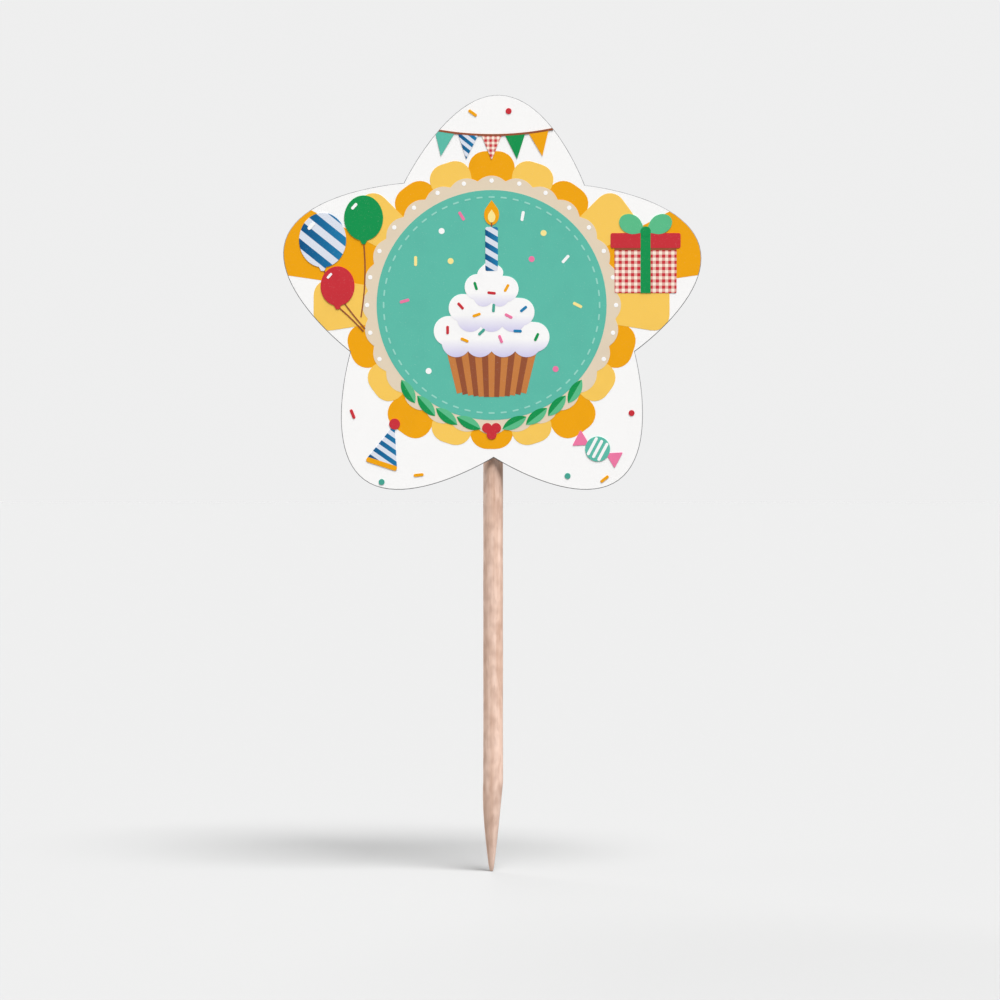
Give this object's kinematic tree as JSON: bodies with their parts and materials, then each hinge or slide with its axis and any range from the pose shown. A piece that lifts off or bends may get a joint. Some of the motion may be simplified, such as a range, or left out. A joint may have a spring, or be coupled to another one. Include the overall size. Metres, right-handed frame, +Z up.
{
  "type": "cupcake pick",
  "caption": "Cupcake pick: a round-lobed card star, printed on its front, glued to a pointed wooden toothpick that is pushed into a cake.",
  "frame": {"origin": "the tip of the toothpick's point, on the toothpick's centre line", "axes": "+Z up along the toothpick to the star, +X to the right seen from the front; the printed side faces -Y"},
  "size_m": [0.0418, 0.0033, 0.0778],
  "materials": {
    "birch_wood": "bare tumbled birch, matt, with fine grain along the stick",
    "coated_card": "white coated card, printed on its front in flat inks with a satin surface",
    "hot_melt_glue": "milky, slightly glossy hot-melt glue"
  },
  "bodies": {
    "root": {"wooden_toothpick": "birch_wood", "printed_star_card": "coated_card", "glue_bead": "hot_melt_glue"}
  },
  "joints": []
}
